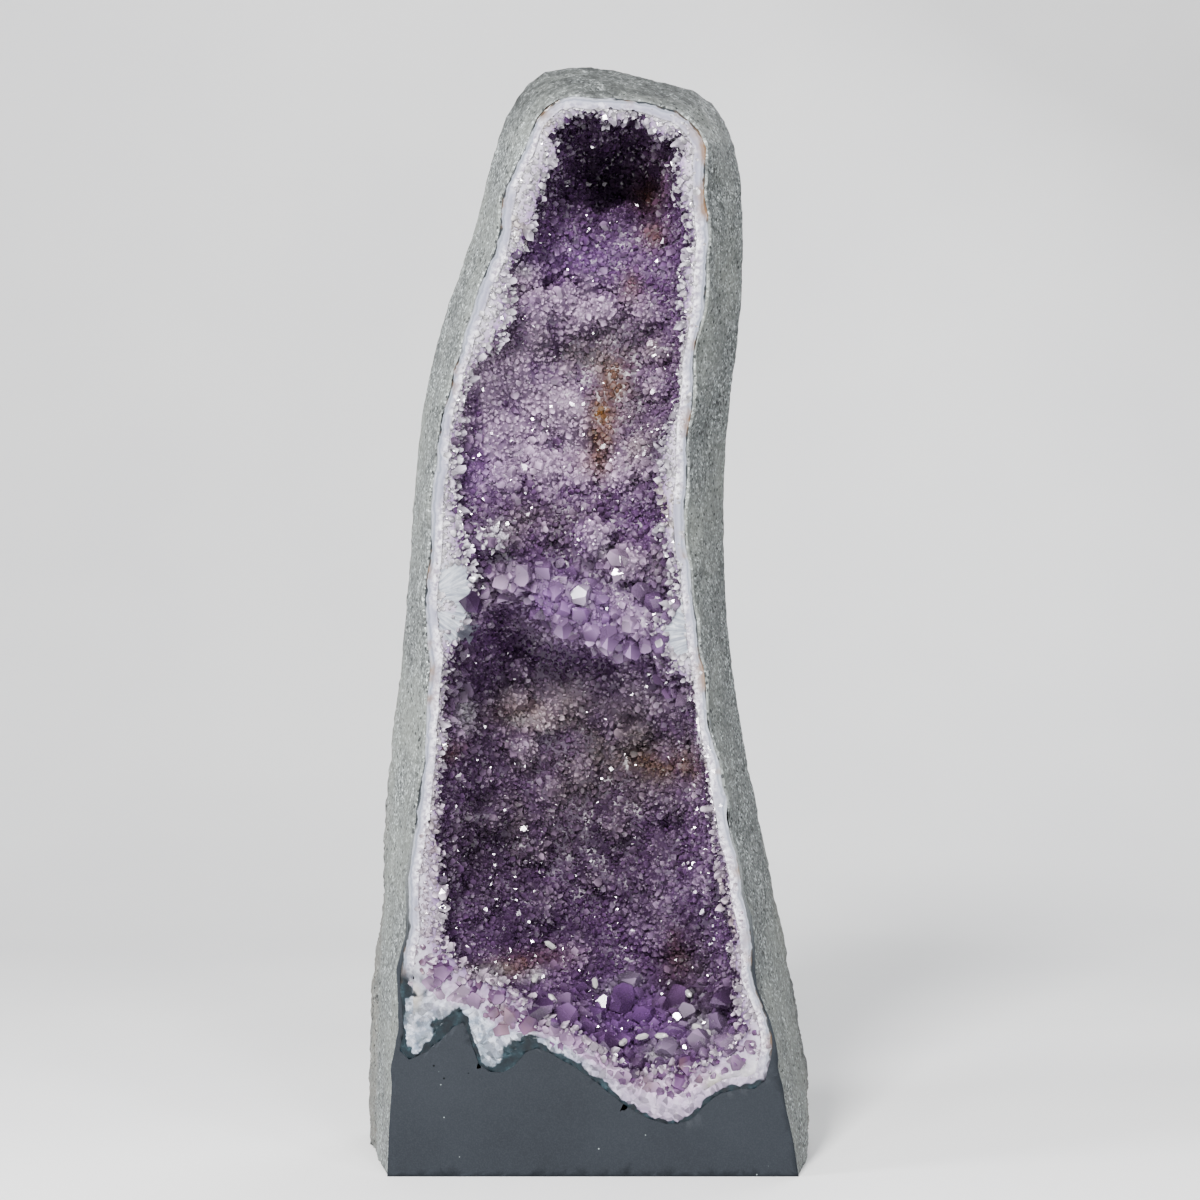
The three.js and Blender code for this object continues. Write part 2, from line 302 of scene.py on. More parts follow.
class Shader(Nodes):
    """A material's node tree, with short calls for the patterns used here."""

    def __init__(self, name):
        self.material = bpy.data.materials.new(name)
        self.material.use_nodes = True
        super().__init__(self.material.node_tree)
        self.place = self.node("ShaderNodeTexCoord").outputs["Object"]

    def noise(self, scale, detail=4.0, rough=0.55, place=None):
        place = place or self.place
        sockets = {"Vector": place, "Scale": scale, "Detail": detail, "Roughness": rough}
        return self.node("ShaderNodeTexNoise", sockets).outputs["Fac"]

    def swirl(self, scale):
        """Noise in three directions, centred on nothing, to bend another pattern."""
        noise_here = self.node("ShaderNodeTexNoise", {"Vector": self.place, "Scale": scale})
        sockets = {0: noise_here.outputs["Color"], 1: (0.5, 0.5, 0.5)}
        return self.node("ShaderNodeVectorMath", sockets, operation="SUBTRACT").outputs[0]

    def voronoi(self, scale, output="Distance", place=None):
        sockets = {"Vector": place or self.place, "Scale": scale}
        return self.node("ShaderNodeTexVoronoi", sockets).outputs[output]

    def cells(self, scale, place=None):
        """Two tones for each cell of a random pattern, which don't depend on each other."""
        parts = self.node("ShaderNodeSeparateColor", {0: self.voronoi(scale, "Color", place)})
        return parts.outputs[0], parts.outputs[1]

    def axis(self, index):
        """The position along one axis, in metres."""
        return self.node("ShaderNodeSeparateXYZ", {0: self.place}).outputs[index]

    def stretched(self, x, y, z):
        """The position with a scale for each axis."""
        return self.node("ShaderNodeMapping", {"Vector": self.place, "Scale": (x, y, z)}).outputs["Vector"]

    def ramp(self, factor, *stops):
        """A colour ramp; each stop is a position and a grey level or a colour."""
        node = self.node("ShaderNodeValToRGB", {"Fac": factor})
        marks = node.color_ramp.elements
        while len(marks) < len(stops):
            marks.new(0.5)
        for mark, (at, shade) in zip(marks, stops):
            mark.position = at
            mark.color = (*(shade if hasattr(shade, "__len__") else (shade,) * 3), 1)
        return node.outputs["Color"]

    def fade(self, factor, start, end, last=1.0, first=0.0):
        """A grey ramp from its first level to its last between two values of the factor."""
        return self.ramp(factor, (start, first), (end, last))

    def mix(self, factor, a, b, blend="MIX"):
        a, b = (c if hasattr(c, "is_output") else (*c, 1) for c in (a, b))
        node = self.node("ShaderNodeMix", {0: factor, 6: a, 7: b}, data_type="RGBA", blend_type=blend)
        return node.outputs[2]

    def math(self, operation, a, b=0.0, clamp=False):
        return self.node("ShaderNodeMath", {0: a, 1: b}, operation=operation, use_clamp=clamp).outputs[0]

    def times(self, a, b):
        return self.math("MULTIPLY", a, b)

    def plus(self, a, b):
        return self.math("ADD", a, b)

    def minus(self, a, b):
        return self.math("SUBTRACT", a, b)

    def attribute(self, name):
        return self.node("ShaderNodeAttribute", attribute_name=name).outputs["Fac"]

    def strewn(self, name, tone, amount):
        """An attribute spread to both sides by a tone that runs from 0 to 1."""
        return self.plus(self.attribute(name), self.times(self.minus(tone, 0.5), amount))

    def bump(self, height, strength, distance):
        sockets = {"Height": height, "Strength": strength, "Distance": distance}
        return self.node("ShaderNodeBump", sockets).outputs["Normal"]

    def finish(self, **sockets):
        """Fills the surface's sockets, named with underscores, and gives the material."""
        named = {key.replace("_", " "): value for key, value in sockets.items()}
        self.fill(self.tree.nodes["Principled BSDF"], named)
        return self.material

    def teal(self):
        """Dark blue-green chalcedony beside the rock, with paler wisps."""
        return self.ramp(
            self.noise(170, 4, 0.6),
            (0.40, (0.002, 0.005, 0.009)), (0.60, (0.005, 0.016, 0.023)), (0.74, (0.025, 0.052, 0.065)),
        )

    def foot_quartz(self, share):
        """Bluish white quartz over the panel in coarse grains, purplish towards the hollow."""
        sockets = {0: self.swirl(60), 1: (0.014, 0.014, 0.014), 2: self.place}
        bent = self.node("ShaderNodeVectorMath", sockets, operation="MULTIPLY_ADD").outputs[0]
        coarse = self.cells(120, bent)[0]
        fine = self.cells(340, bent)[0]
        colour = self.ramp(
            share,
            (0.0, (0.07, 0.095, 0.11)), (0.20, (0.15, 0.17, 0.20)), (0.45, (0.19, 0.19, 0.24)),
            (0.60, (0.22, 0.14, 0.25)), (1.0, (0.17, 0.085, 0.20)),
        )
        inner = self.fade(share, 0.40, 0.60)
        other = self.mix(inner, (0.12, 0.15, 0.20), (0.26, 0.13, 0.26))
        colour = self.mix(self.times(coarse, 0.7), colour, other)
        frost = self.fade(self.noise(150, 5, 0.7), 0.46, 0.60, 0.7)
        colour = self.mix(frost, colour, (0.40, 0.41, 0.46))
        right = self.fade(self.plus(self.axis(0), 0.5), 0.47, 0.53, 0.6)
        colour = self.mix(right, colour, (0.27, 0.19, 0.28))
        tone = self.mix(fine, (0.5, 0.5, 0.5), (1.55, 1.55, 1.55))
        return self.mix(1.0, colour, tone, "MULTIPLY")

    def radiating(self):
        """Bluish white quartz in needles that spread from the rock, at both ends of the shelf."""
        right = self.math("GREATER_THAN", self.axis(0), 0.0)
        root_x = self.plus(self.times(right, 0.166), -0.096)
        root_z = self.plus(self.times(right, -0.018), 0.322)
        across = self.minus(self.axis(0), root_x)
        turn = self.math("ARCTAN2", self.minus(self.axis(2), root_z), across)
        needle = self.node("ShaderNodeCombineXYZ", {0: self.times(turn, 9), 1: self.times(across, 45)})
        return self.ramp(
            self.noise(1, 4, 0.7, needle.outputs[0]),
            (0.36, (0.15, 0.16, 0.20)), (0.5, (0.27, 0.29, 0.33)), (0.64, (0.46, 0.47, 0.51)),
        )

    def faceted(self, colour, root, least=0.62):
        """A crystal's colour with painted light and shade: a random tone painted on each face, and painted
        shade towards its root.
        """
        foot = self.ramp(self.attribute("up"), (0.40, root), (0.9, 1.0))
        colour = self.mix(1.0, colour, foot, "MULTIPLY")
        return self.mix(1.0, colour, self.fade(self.attribute("facet"), 0.0, 1.0, 1.0, least), "MULTIPLY")


def ground_rock(rock):
    """Grey basalt worn by the grinder: pale and dark grains, vesicles, streaks along the stone."""
    s = Shader("ground_basalt")
    grey = lambda times: tuple(min(1, c * times) for c in rock.ground)
    grain, pale_grain = s.cells(820)
    colour = s.mix(grain, grey(0.30), grey(1.70))
    colour = s.mix(s.fade(pale_grain, 0.87, 0.91, 0.8), colour, grey(3.4))
    colour = s.mix(s.fade(s.cells(430)[0], 0.84, 0.88, 0.6), colour, grey(0.2))
    streak = s.noise(1, 5, 0.62, s.stretched(95, 95, 30))
    colour = s.mix(s.fade(streak, 0.38, 0.66, 0.6), colour, grey(0.5))
    colour = s.mix(s.fade(s.noise(15, 5, 0.6), 0.45, 0.66, 0.5), colour, (0.21, 0.225, 0.205))
    mottled = s.fade(s.noise(110, 5, 0.7), 0.38, 0.60, 1.0, 0.15)
    top = s.times(s.fade(s.axis(2), 0.585, 0.605, 0.9), mottled)
    colour = s.mix(top, colour, grey(0.25))
    weathered = s.mix(s.fade(s.noise(24, 5, 0.6), 0.4, 0.62), (0.085, 0.088, 0.086), (0.20, 0.185, 0.16))
    colour = s.mix(s.times(s.attribute("raw"), 0.55), colour, weathered)
    pits = s.voronoi(330, place=s.stretched(1, 1, 0.8))
    hole = s.fade(s.minus(s.times(s.noise(38, 4), 0.47), pits), 0.0, 0.06, 0.9)
    colour = s.mix(hole, colour, (0.018, 0.020, 0.022))
    height = s.minus(s.plus(s.times(grain, 0.5), s.times(streak, 1.4)), s.times(hole, 1.2))
    return s.finish(Base_Color=colour, Roughness=0.72, Normal=s.bump(height, 0.8, 0.7 * MM))


def sawn_rock(rock):
    """Dense dark basalt sawn and rubbed flat, with pale specks; like the ground rock higher up."""
    s = Shader("sawn_basalt")
    base = tuple(rock.panel)
    grey = lambda times: tuple(c * times for c in base)
    cloud = s.noise(16, 5, 0.6)
    colour = s.mix(s.fade(cloud, 0.35, 0.7), base, grey(1.25))
    fine = s.noise(1300, 2)
    colour = s.mix(s.fade(fine, 0.4, 0.75, 0.35), colour, grey(1.9))
    speck = s.fade(s.voronoi(170), 0.04, 0.09, 0.0, 1.0)
    rare = s.fade(s.noise(40, 2), 0.58, 0.63)
    colour = s.mix(s.times(speck, rare), colour, (0.30, 0.34, 0.34))
    pock = s.fade(s.voronoi(75), 0.03, 0.06, 0.0, 1.0)
    colour = s.mix(s.times(pock, s.fade(s.noise(22, 1), 0.5, 0.55)), colour, grey(0.25))
    ground = s.mix(s.noise(820, 3), (0.06, 0.065, 0.065), (0.21, 0.22, 0.22))
    colour = s.mix(s.fade(s.axis(2), 0.12, SAWN_TOP), colour, ground)
    rough = s.fade(cloud, 0.3, 0.7, 0.66, 0.52)
    relief = s.bump(fine, 0.15, 0.2 * MM)
    return s.finish(Base_Color=colour, Roughness=rough, Specular_IOR_Level=0.12, Normal=relief)


def band_stone(quartz):
    """Agate: a dark line at the rock, then bluish white bands; dark teal under the hollow."""
    s = Shader("banded_agate")
    depth = s.times(s.strewn("from_rock", s.noise(150, 4), 2.6), 1 / 8)
    colour = s.ramp(
        depth,
        (0.0, (0.17, 0.18, 0.20)), (0.12, (0.29, 0.30, 0.34)), (0.24, (0.17, 0.18, 0.225)),
        (0.36, (0.29, 0.295, 0.36)), (0.60, (0.21, 0.205, 0.265)), (0.85, (0.37, 0.355, 0.41)),
    )
    frost = s.mix(s.fade(s.noise(420, 4, 0.7), 0.42, 0.58), (0.24, 0.21, 0.26), (0.72, 0.70, 0.75))
    icy = s.times(s.fade(depth, 0.25, 0.55), s.fade(s.noise(28, 3), 0.42, 0.54, 0.9))
    colour = s.mix(icy, colour, frost)
    # A patchy near-black line just inside the band, close to the rock.
    black_line = s.times(s.fade(depth, 0.10, 0.17, 0.0, 1.0), s.fade(s.noise(17, 3), 0.50, 0.54))
    colour = s.mix(black_line, colour, (0.022, 0.026, 0.030))
    colour = s.mix(s.attribute("foot"), colour, s.foot_quartz(s.times(depth, 0.25)))
    colour = s.mix(s.fade(s.attribute("teal"), 0.25, 0.6), colour, s.teal())
    rust = s.fade(s.noise(34, 4, 0.6), 0.54, 0.66, 0.75)
    near_rock = s.fade(depth, 0.25, 0.75, 0.0, 1.0)
    rust = s.times(s.times(rust, near_rock), s.minus(1.0, s.attribute("foot")))
    colour = s.mix(rust, colour, (0.17, 0.10, 0.055))
    relief = s.bump(s.noise(500, 3), 0.2, 0.3 * MM)
    return s.finish(
        Base_Color=colour, Roughness=0.28, Specular_IOR_Level=0.3, Normal=relief,
        Transmission_Weight=0.1, IOR=quartz.ior,
    )


def druse_colour(s, druse):
    """The crystals' colour by place: deep to pale, then vivid, smoky and rusty patches, then painted shade
    towards near black.
    """
    spread = s.times(s.minus(s.attribute("shade"), 0.5), 0.6)
    pale = s.math("ADD", s.attribute("pale"), spread, clamp=True)
    colour = s.mix(pale, tuple(druse.deep), tuple(druse.pale))
    colour = s.mix(s.times(s.attribute("vivid"), 0.8), colour, tuple(druse.vivid))
    smoky = s.mix(pale, tuple(c * 0.6 for c in druse.smoky), tuple(min(1, c * 2.0) for c in druse.smoky))
    colour = s.mix(s.attribute("smoky"), colour, smoky)
    colour = s.mix(s.attribute("rust"), colour, tuple(druse.rust))
    colour = s.mix(s.attribute("milky"), colour, tuple(druse.white))
    # Painted shade: the dark attribute mixes the colour towards near black.
    return s.mix(s.times(s.attribute("dark"), 0.85), colour, (0.030, 0.016, 0.042))


def bed_stone(quartz, druse):
    """Quartz rim and the bed under the points: white at the rock, lavender at the hollow, with painted
    shade where the points cover it.
    """
    s = Shader("quartz_bed")
    grit = s.noise(230, 5, 0.65)
    share = s.strewn("share", grit, 0.5)
    rim = s.ramp(
        share,
        (0.0, (0.50, 0.49, 0.54)), (0.15, (0.52, 0.51, 0.57)), (0.35, (0.42, 0.40, 0.46)),
        (0.70, (0.32, 0.27, 0.36)), (0.95, (0.22, 0.15, 0.28)),
    )
    creamy = s.mix(s.fade(s.noise(90, 4), 0.4, 0.6), (0.13, 0.125, 0.115), (0.32, 0.30, 0.27))
    foot = s.mix(s.fade(s.attribute("cream"), 0.3, 0.6), s.foot_quartz(share), creamy)
    colour = s.mix(s.attribute("foot"), rim, foot)
    colour = s.mix(s.fade(s.attribute("teal"), 0.2, 0.6), colour, s.teal())
    fan = s.fade(s.plus(s.attribute("fan"), s.times(grit, 0.4)), 0.60, 0.75)
    colour = s.mix(fan, colour, s.radiating())
    # Painted shade: where points cover the bed, it is mixed most of the way to near black between them.
    under = s.mix(0.72, druse_colour(s, druse), (0.02, 0.012, 0.025))
    covered = s.math("SUBTRACT", s.attribute("inside"), fan, clamp=True)
    colour = s.mix(covered, colour, under)
    relief = s.bump(s.plus(grit, s.times(s.voronoi(420), 0.6)), 0.6, 0.7 * MM)
    return s.finish(
        Base_Color=colour, Roughness=0.3, Specular_IOR_Level=0.35, Normal=relief,
        Transmission_Weight=0.1, IOR=quartz.ior,
    )


def amethyst(name, quartz, druse, clear):
    """See-through amethyst: each face has its own painted tone of light and shade, and painted shade makes
    the root darker than the tip.
    """
    s = Shader(name)
    colour = s.faceted(druse_colour(s, druse), 0.45)
    sockets = {"Color": (*druse.tint, 1), "Density": druse.tint_density}
    inside = s.node("ShaderNodeVolumeAbsorption", sockets)
    s.fill(s.tree.nodes["Material Output"], {"Volume": inside.outputs[0]})
    return s.finish(Base_Color=colour, Roughness=0.06, Transmission_Weight=clear, IOR=quartz.ior)


def rim_crystal(quartz, druse):
    """Cut crystals of the rim: milky white by the rock, lavender by the hollow."""
    s = Shader("rim_crystal")
    share = s.strewn("share", s.attribute("shade"), 0.5)
    colour = s.ramp(share, (0.4, tuple(druse.white)), (0.72, (0.84, 0.80, 0.87)), (1.0, (0.70, 0.63, 0.75)))
    mauve = s.mix(s.fade(s.noise(60, 3), 0.4, 0.6), (0.80, 0.70, 0.82), (0.62, 0.48, 0.62))
    colour = s.mix(s.fade(s.axis(2), 0.14, 0.33, 0.0, 0.85), colour, mauve)
    colour = s.mix(s.fade(s.noise(30, 3), 0.62, 0.70, 0.35), colour, (0.62, 0.48, 0.36))
    # Painted light and shade on each face, and painted shade at the root.
    colour = s.faceted(colour, 0.38, 0.55)
    return s.finish(Base_Color=colour, Roughness=0.06, Transmission_Weight=0.3, IOR=quartz.ior)


def cut_crystal():
    """Purple and pinkish crystals above the panel, sawn through with the stone."""
    s = Shader("cut_crystal")
    colour = s.mix(s.attribute("shade"), (0.16, 0.07, 0.19), (0.40, 0.29, 0.42))
    brown = s.fade(s.noise(60, 3), 0.54, 0.66, 0.4)
    colour = s.mix(brown, colour, (0.26, 0.17, 0.13))
    # Painted light and shade on each face, and painted shade at the root.
    return s.finish(Base_Color=s.faceted(colour, 0.5), Roughness=0.12, Transmission_Weight=0.2)


def milky_grain(quartz):
    """Small loose quartz grains, milky white and half clear."""
    s = Shader("milky_quartz")
    cloud = s.noise(380, 3)
    colour = s.mix(s.fade(cloud, 0.35, 0.7), (0.70, 0.68, 0.66), (0.52, 0.50, 0.54))
    relief = s.bump(cloud, 0.2, 0.3 * MM)
    return s.finish(
        Base_Color=colour, Roughness=0.16, Transmission_Weight=0.5, IOR=quartz.ior, Normal=relief,
    )


# ---- Rind ----


def outwards(point):
    """The direction from the stone's upright middle line to a point."""
    height = min(point.z, LOW.z + 0.52)
    return (point - Vector((0, 0, height))).normalized()


def rawness(point):
    """0 on the ground bevel, 1 on the natural stone behind it."""
    return smoothstep(-0.40, -0.15, outwards(point).y)


def rough_rock(point, rock):
    """How far the stone is worn in at a point, towards its middle line."""
    raw = rawness(point)
    grain = abs(noise.noise(point * 300)) * 1.0 + abs(noise.noise(point * 140 + Vector((5, 2, 1)))) * 1.3
    wear = grain * rock.grain * (1 + 2.6 * raw)
    hollow = 0.5 + 0.5 * noise.fractal(point * 17, 0.9, 2.1, 4)
    knobs = 0.5 + 0.5 * noise.fractal(point * 62, 0.8, 2.2, 3)
    wear += raw * rock.hummock * (0.8 * hollow + 0.35 * knobs)
    wear += (1 - raw) * rock.grain * 1.2 * knobs
    return wear


class GEODE_OT_rind(bpy.types.Operator):
    """Rough grey rind with its ground bevel and dark sawn panel"""

    bl_idname = "geode.rind"
    bl_label = "Basalt rind"

    def execute(self, context):
        rock = context.scene.geode_rock
        quartz = context.scene.geode_quartz
        band = tree_of("agate_band")
        to_band = lambda v: band.find_nearest(v.co)[3]
        bm = merged_copy("basalt_rind")
        lined = bm.verts.layers.int.new("lined")
        for v in bm.verts:
            v[lined] = int(to_band(v) < 1.6 * MM and not on_face(v.co))
        refine(bm, rock.step, lambda e: not (e.verts[0][lined] or e.verts[1][lined]))
        beside = lambda v: to_band(v) < 1.2 * MM
        refine(bm, EDGE_STEP, lambda e: panel_edge(e) and beside(e.verts[0]) and beside(e.verts[1]))
        even_out(bm)
        bm.normal_update()
        fore = lambda v: outwards(v.co).y < -0.1 and not on_base(v.co) and not v[lined]
        fore_edge = lambda e: fore(e.verts[0]) and fore(e.verts[1]) and not panel_edge(e)
        refine(bm, rock.step * 0.5, fore_edge, 2)
        bm.normal_update()
        inner = amid_face(bm)
        moves = []
        for v in bm.verts:
            far = smoothstep(0.004, 0.030, to_band(v))
            shift = ripple(v.co, quartz.ripple) * (1 - far)
            if not (v[lined] or on_face(v.co)):
                shift = shift - outwards(v.co) * rough_rock(v.co, rock)
            moves.append(shift)
        for v, shift in zip(bm.verts, moves):
            v.co += shift
        settle(bm, inner)
        even_out(bm)
        bm.normal_update()
        for f in bm.faces:
            sawn = all(on_face(v.co) or v[lined] for v in f.verts)
            low = f.calc_center_median().z < SAWN_TOP
            f.material_index = int(sawn and low)
        mesh = mesh_of(bm, "rind", raw=[rawness(v.co) for v in bm.verts])
        mesh.set_sharp_from_angle(angle=math.radians(35))
        make_piece("rind", mesh, (ground_rock(rock), sawn_rock(rock)), ("basalt_rind",))
        return {"FINISHED"}


# ---- Agate band ----


def foot_share(point):
    """1 where the nearest rock is the panel under the hollow, 0 up the sides."""
    edge = PANEL_TOP - PANEL_FALL * point.x
    return 1 - smoothstep(edge, edge + 0.035, point.z)


def closed_gap(point, tree, reach, gap):
    """The step to within a gap of the next layer, if it's in reach; a gap below 0 overlaps it."""
    near, _, _, distance = tree.find_nearest(point)
    if distance > reach:
        return Vector((0, 0, 0))
    return (near - point).normalized() * (distance - gap)


def teal_share(point, from_rock):
    """1 in the dark teal fringe between panel and quartz: ragged at the left, thin at the right."""
    patchy = smoothstep(-0.35, 0.35, noise.noise(point * 48 + Vector((1, 4, 2))))
    left = 1 - smoothstep(-0.045, -0.02, point.x)
    ragged = 1 + 0.7 * noise.noise(point * 130)
    reach = (2.6 + 1.6 * patchy + left * 12 * patchy) * ragged * MM
    grit = 0.4 * reach * noise.noise(point * 300)
    return foot_share(point) * (1 - smoothstep(0.45 * reach, 1.05 * reach, from_rock + grit))


class GEODE_OT_band(bpy.types.Operator):
    """Thin agate band between rock and quartz"""

    bl_idname = "geode.band"
    bl_label = "Agate band"

    def execute(self, context):
        quartz = context.scene.geode_quartz
        rock = tree_of("basalt_rind")
        lining = tree_of("amethyst_lining")
        bm = merged_copy("agate_band")
        refine(bm, EDGE_STEP, panel_edge)
        even_out(bm)
        to_rock = [rock.find_nearest(v.co)[3] for v in bm.verts]
        foot = [foot_share(v.co) for v in bm.verts]
        teal = [teal_share(v.co, distance) for v, distance in zip(bm.verts, to_rock)]
        inner = amid_face(bm)
        for v in bm.verts:
            open_here = smoothstep(0.05, 0.35, noise.noise(v.co * 26)) * (v.co.x < 0)
            step = closed_gap(v.co, rock, 0.8 * MM, (0.75 * open_here - 0.3) * MM)
            step += closed_gap(v.co, lining, 0.8 * MM, -0.35 * MM)
            step.y = 0.2 * MM if on_face(v.co) else 0.0
            v.co += step + ripple(v.co, quartz.ripple)
        settle(bm, inner)
        mesh = mesh_of(bm, "band", from_rock=np.divide(to_rock, MM), foot=foot, teal=teal)
        mesh.set_sharp_from_angle(angle=math.radians(40))
        make_piece("band", mesh, (band_stone(quartz),), ("agate_band",))
        return {"FINISHED"}


# ---- Quartz rim and bed ----

# Patches of the druse: x, z, half width, half height in mm, and how strong.
# The patch at z 262 is painted light: it makes the shaded recess under the shelf paler.
PALE = (
    (-42, 432, 38, 30, 1.6), (-5, 425, 50, 40, 0.30), (-40, 400, 50, 30, 0.30), (-45, 495, 26, 14, 0.5),
    (2, 490, 34, 12, 0.6), (30, 470, 20, 20, 0.2), (0, 395, 60, 12, 0.35), (-52, 364, 14, 10, 0.45),
    (10, 366, 16, 8, 0.45), (30, 345, 20, 10, 0.35), (20, 312, 46, 22, 1.5), (-20, 325, 34, 18, 1.3),
    (0, 262, 80, 12, 0.6), (0, 235, 80, 20, 0.2), (-50, 330, 16, 18, 0.35), (-32, 250, 26, 22, 0.28),
    (-30, 200, 40, 30, 0.12), (30, 110, 40, 30, 0.16), (0, 150, 80, 30, 0.06), (-50, 112, 40, 10, 0.15),
    (60, 75, 30, 14, 0.25), (10, 520, 40, 10, 0.2),
)
VIVID = (
    (0, 316, 40, 24, 0.6), (40, 300, 30, 16, 0.6), (-20, 328, 30, 14, 0.45), (-10, 518, 40, 12, 0.45),
    (25, 86, 40, 14, 0.7), (40, 75, 30, 12, 0.5), (60, 130, 30, 20, 0.25), (-60, 395, 16, 14, 0.4),
)
SMOKY = (
    (20, 445, 34, 36, 0.55), (-5, 465, 50, 12, 0.4), (30, 410, 24, 20, 0.3), (-34, 360, 20, 12, 0.5),
    (40, 225, 44, 26, 0.5), (-30, 258, 30, 20, 0.5), (5, 245, 60, 30, 0.35), (-30, 180, 50, 40, 0.3),
    (-10, 200, 60, 40, 0.25), (-20, 372, 30, 8, 0.3), (60, 105, 20, 26, 0.4), (30, 345, 34, 10, 0.3),
)
RUST = (
    (9, 424, 9, 20, 0.75), (17, 452, 9, 12, 0.6), (4, 402, 10, 8, 0.4), (45, 226, 20, 8, 0.5),
    (-80, 238, 6, 6, 0.9), (52, 112, 8, 20, 0.35), (-50, 114, 34, 6, 0.45), (36, 560, 10, 16, 0.5),
    (38, 530, 8, 8, 0.45), (-40, 254, 16, 8, 0.35), (-52, 504, 14, 6, 0.3), (26, 500, 6, 10, 0.4),
)
MILKY = (
    (-57, 113, 10, 4, 0.6), (-30, 108, 8, 3, 0.4), (-36, 508, 5, 4, 0.5), (8, 352, 5, 5, 0.35),
    (-50, 364, 5, 4, 0.3), (-40, 252, 8, 4, 0.35), (-26, 240, 5, 5, 0.3), (-70, 258, 4, 8, 0.6),
    (40, 66, 8, 4, 0.6), (20, 96, 12, 4, 0.35), (-3, 324, 5, 4, 0.5), (66, 80, 10, 6, 0.45),
)
# Painted shade: patches where the druse is mixed towards near black, under the lumps and balls, in the
# caves, under the roof and low on the wall.
PAINTED_SHADE = (
    (-22, 467, 34, 6, 0.6), (16, 474, 22, 6, 0.6), (-46, 345, 14, 5, 0.8), (8, 334, 16, 5, 0.7),
    (-16, 354, 10, 12, 0.5), (28, 329, 14, 5, 0.5), (-40, 380, 20, 5, 0.35), (20, 374, 26, 6, 0.4),
    (-60, 275, 20, 14, 0.25), (-45, 165, 50, 36, 0.45), (25, 180, 50, 36, 0.35),
    (62, 118, 24, 34, 0.45), (-40, 126, 36, 10, 0.4), (5, 105, 14, 20, 0.3), (10, 570, 70, 44, 0.6),
    (0, 140, 60, 20, 0.2), (-62, 215, 14, 60, 0.3), (56, 95, 16, 5, 0.5), (-44, 400, 10, 30, 0.15),
)
CREAM = ((95, 60, 14, 16, 1.0), (72, 52, 12, 10, 0.5), (-98, 100, 8, 26, 0.5))
FAN = ((-74, 318, 15, 24, 1.2), (60, 308, 15, 20, 1.2))
PLACES = {
    "pale": PALE, "vivid": VIVID, "smoky": SMOKY, "rust": RUST,
    "milky": MILKY, "dark": PAINTED_SHADE, "cream": CREAM, "fan": FAN,
}


def patch_sum(point, patches):
    total = 0.0
    for x, z, wide, tall, amount in patches:
        off = ((point.x / MM - x) / wide) ** 2 + ((point.z / MM - z) / tall) ** 2
        total += amount * math.exp(-off)
    return min(total, 1.0)


def botryoidal(point, size):
    """Rounded lumps a given size across, from 0 between them to 1 on their crowns."""
    near = noise.voronoi(point / size)[0][0]
    return max(0.0, 1 - near * near * 1.6)


def bed_bmesh(quartz):
    """The lining with a fine mesh where it shows, and layers that say where each point lies."""
    band = tree_of("agate_band")
    rock = tree_of("basalt_rind")
    bm = merged_copy("amethyst_lining")
    inside = bm.verts.layers.float.new("inside")
    for v in bm.verts:
        hidden = band.find_nearest(v.co)[3] < 2.6 * MM
        v[inside] = 0.0 if hidden or on_face(v.co) else 1.0
    shown = lambda v: v[inside] > 0 or on_face(v.co)
    refine(bm, quartz.step, lambda e: shown(e.verts[0]) and shown(e.verts[1]))
    refine(bm, EDGE_STEP, panel_edge)
    even_out(bm)
    brink = KDTree(len(bm.edges))
    for e in bm.edges:
        outline = panel_edge(e) and not all(in_face(f) for f in e.link_faces)
        if outline and any(v[inside] for f in e.link_faces for v in f.verts):
            brink.insert((e.verts[0].co + e.verts[1].co) / 2, e.index)
    brink.balance()
    share, foot, teal, mouth = (bm.verts.layers.float.new(n) for n in ("share", "foot", "teal", "mouth"))
    for v in bm.verts:
        v[inside] = 1.0 if v[inside] > 0 and not on_face(v.co) else 0.0
        to_rock = rock.find_nearest(v.co)[3]
        v[teal] = teal_share(v.co, to_rock)
        to_mouth = brink.find(v.co)[2]
        v[mouth] = to_mouth / MM
        v[share] = 1.0 if v[inside] else to_rock / (to_rock + to_mouth)
        v[foot] = foot_share(v.co)
    return bm


# Rounded masses that stand out of the wall: x, z, radius and height in mm.
MASSES = (
    (-34, 507, 10, 7), (-31, 488, 9, 6), (-15, 495, 10, 7), (-3, 484, 11, 9), (10, 488, 9, 8),
    (38, 488, 10, 6), (16, 505, 7, 5), (24, 496, 8, 5), (40, 464, 8, 6), (39, 446, 10, 6),
    (-4, 397, 11, 6), (-23, 399, 10, 6), (19, 393, 11, 7), (38, 398, 9, 5), (-46, 392, 9, 5),
    (-49, 359, 10, 11), (5, 358, 10, 10), (10, 348, 6, 6), (25, 344, 10, 8), (-44, 336, 10, 5),
    (-25, 362, 7, 5), (42, 352, 8, 4), (-40, 283, 9, 6), (-44, 264, 10, 6), (-27, 252, 9, 6),
    (-39, 234, 10, 6), (-57, 194, 10, 7), (-22, 209, 11, 6), (17, 188, 9, 6), (-2, 219, 10, 5),
    (30, 246, 9, 5), (50, 205, 10, 5), (40, 144, 30, 8), (-26, 143, 14, 6), (-62, 150, 11, 5),
    (6, 160, 12, 5), (-6, 118, 12, 4), (70, 160, 11, 5), (-30, 175, 10, 5), (45, 178, 10, 4),
)


